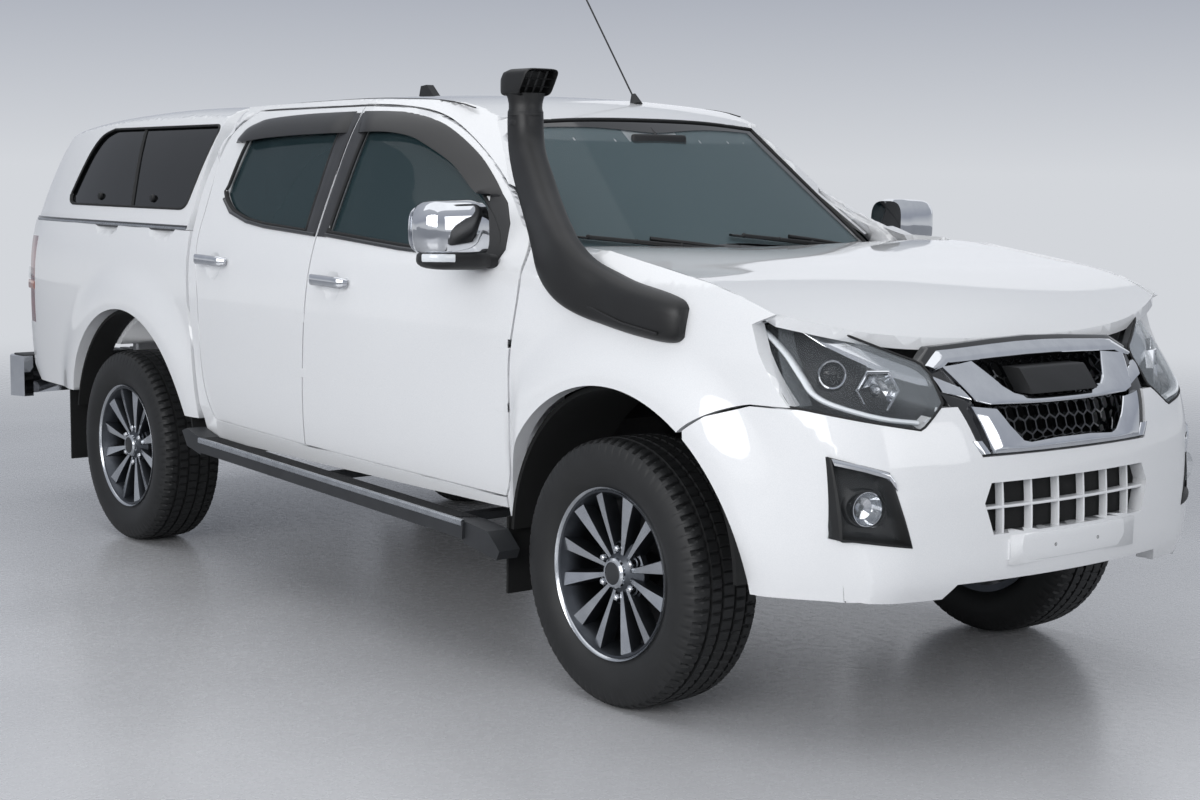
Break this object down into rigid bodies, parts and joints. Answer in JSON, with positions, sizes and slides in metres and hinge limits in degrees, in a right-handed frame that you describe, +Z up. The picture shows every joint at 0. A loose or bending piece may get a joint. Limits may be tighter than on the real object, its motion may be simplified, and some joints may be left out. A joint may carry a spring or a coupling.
{
  "type": "lifted double-cab pickup with canopy",
  "caption": "Lifted double-cab pickup with a fibreglass canopy, snorkel and side steps: opening doors, bonnet, tailgate and hatch, turning and steered wheels.",
  "frame": {"origin": "on the ground under the middle of the vehicle's length and width", "axes": "+X forward, +Y to the vehicle's left, +Z up"},
  "size_m": [5.2949, 2.092, 2.1592],
  "materials": {
    "paint_white": "gloss pearl white",
    "paint_black": "satin black",
    "chrome": "polished",
    "alloy": "machined",
    "tyre": "matt",
    "plastic_black": "moulded satin",
    "plastic_grey": "moulded grain",
    "glass_tint": "tinted",
    "glass_clear": "clear",
    "lens_red": "gloss",
    "lamp_clear": "clear lens over reflector",
    "iron": "rough",
    "steel": "brushed",
    "fabric_dark": "woven"
  },
  "bodies": {
    "vehicle": {"chassis_frame": "paint_black", "engine_gearbox": "iron", "exhaust": "steel", "fuel_tank": "plastic_black", "drive_shafts": "paint_black", "rear_axle": "paint_black", "suspension": "paint_black", "cab_floor": "paint_white", "cab_side_left": "paint_white", "cab_side_right": "paint_white", "cab_roof": "paint_white", "cab_back": "paint_white", "cab_glass": "glass_clear", "fender_left": "paint_white", "fender_right": "paint_white", "front_bumper": "paint_white", "grille": "chrome", "front_lamps": "lamp_clear", "radiator_panel": "plastic_black", "cowl_and_wipers": "plastic_black", "tub_side_left": "paint_white", "tub_side_right": "paint_white", "tub_floor": "paint_white", "canopy_shell": "paint_white", "canopy_glass": "glass_tint", "rear_bumper": "chrome", "tail_lamps": "lens_red", "side_steps": "plastic_grey", "snorkel": "plastic_black", "arch_liners": "plastic_black", "aerials": "plastic_black", "front_seats": "fabric_dark", "rear_bench": "fabric_dark", "dashboard": "plastic_grey"},
    "door_front_left_body": {"door_front_left": "paint_white", "door_glass_front_left": "glass_tint", "mirror_left": "chrome"},
    "wheel_front_left": {"tyre_front_left": "tyre", "rim_front_left": "alloy"},
    "door_front_right_body": {"door_front_right": "paint_white", "door_glass_front_right": "glass_tint", "mirror_right": "chrome"},
    "wheel_front_right": {"tyre_front_right": "tyre", "rim_front_right": "alloy"},
    "door_rear_left_body": {"door_rear_left": "paint_white", "door_glass_rear_left": "glass_tint"},
    "wheel_rear_left": {"tyre_rear_left": "tyre", "rim_rear_left": "alloy"},
    "door_rear_right_body": {"door_rear_right": "paint_white", "door_glass_rear_right": "glass_tint"},
    "wheel_rear_right": {"tyre_rear_right": "tyre", "rim_rear_right": "alloy"},
    "upright_left": {"knuckle_left": "iron"},
    "upright_right": {"knuckle_right": "iron"},
    "bonnet_body": {"bonnet": "paint_white"},
    "tailgate_body": {"tailgate": "paint_white"},
    "canopy_hatch": {"canopy_door": "glass_tint"},
    "steering_wheel_body": {"steering_wheel": "plastic_black"}
  },
  "joints": [
    {"name": "door_front_left_hinge", "type": "hinge", "parent": "vehicle", "child": "door_front_left_body", "pos_m": [1.198, 0.884, 0.9], "axis": [0, 0, -1], "range_deg": [0, 65]},
    {"name": "door_front_right_hinge", "type": "hinge", "parent": "vehicle", "child": "door_front_right_body", "pos_m": [1.198, -0.884, 0.9], "axis": [0, 0, 1], "range_deg": [0, 65]},
    {"name": "door_rear_left_hinge", "type": "hinge", "parent": "vehicle", "child": "door_rear_left_body", "pos_m": [0.03, 0.884, 0.9], "axis": [0, 0, -1], "range_deg": [0, 65]},
    {"name": "door_rear_right_hinge", "type": "hinge", "parent": "vehicle", "child": "door_rear_right_body", "pos_m": [0.03, -0.884, 0.9], "axis": [0, 0, 1], "range_deg": [0, 65]},
    {"name": "bonnet_hinge", "type": "hinge", "parent": "vehicle", "child": "bonnet_body", "pos_m": [1.43, 0, 1.222], "axis": [0, -1, 0], "range_deg": [0, 50]},
    {"name": "tailgate_hinge", "type": "hinge", "parent": "vehicle", "child": "tailgate_body", "pos_m": [-2.405, 0, 0.765], "axis": [0, -1, 0], "range_deg": [0, 90]},
    {"name": "canopy_hatch_hinge", "type": "hinge", "parent": "vehicle", "child": "canopy_hatch", "pos_m": [-2.246, 0, 1.676], "axis": [0, 1, 0], "range_deg": [0, 75]},
    {"name": "steering_wheel_turn", "type": "hinge", "parent": "vehicle", "child": "steering_wheel_body", "pos_m": [0.806, 0.375, 1.078], "axis": [-0.9207, 0, 0.3903], "range_deg": [-495, 495]},
    {"name": "steer_left", "type": "hinge", "parent": "vehicle", "child": "upright_left", "pos_m": [1.7425, 0.69, 0.3815], "axis": [0, 0, 1], "range_deg": [-33.5, 33.5]},
    {"name": "steer_right", "type": "hinge", "parent": "vehicle", "child": "upright_right", "pos_m": [1.7425, -0.69, 0.3815], "axis": [0, 0, 1], "range_deg": [-33.5, 33.5]},
    {"name": "wheel_front_left_spin", "type": "hinge", "parent": "upright_left", "child": "wheel_front_left", "pos_m": [1.7425, 0.785, 0.3815], "axis": [0, 1, 0], "continuous": true},
    {"name": "wheel_front_right_spin", "type": "hinge", "parent": "upright_right", "child": "wheel_front_right", "pos_m": [1.7425, -0.785, 0.3815], "axis": [0, 1, 0], "continuous": true},
    {"name": "wheel_rear_left_spin", "type": "hinge", "parent": "vehicle", "child": "wheel_rear_left", "pos_m": [-1.3525, 0.785, 0.3815], "axis": [0, 1, 0], "continuous": true},
    {"name": "wheel_rear_right_spin", "type": "hinge", "parent": "vehicle", "child": "wheel_rear_right", "pos_m": [-1.3525, -0.785, 0.3815], "axis": [0, 1, 0], "continuous": true}
  ],
  "couplings": [
    {"joint": "steer_left", "follows": "steering_wheel_turn", "ratio": 0.066667},
    {"joint": "steer_right", "follows": "steering_wheel_turn", "ratio": 0.066667}
  ]
}
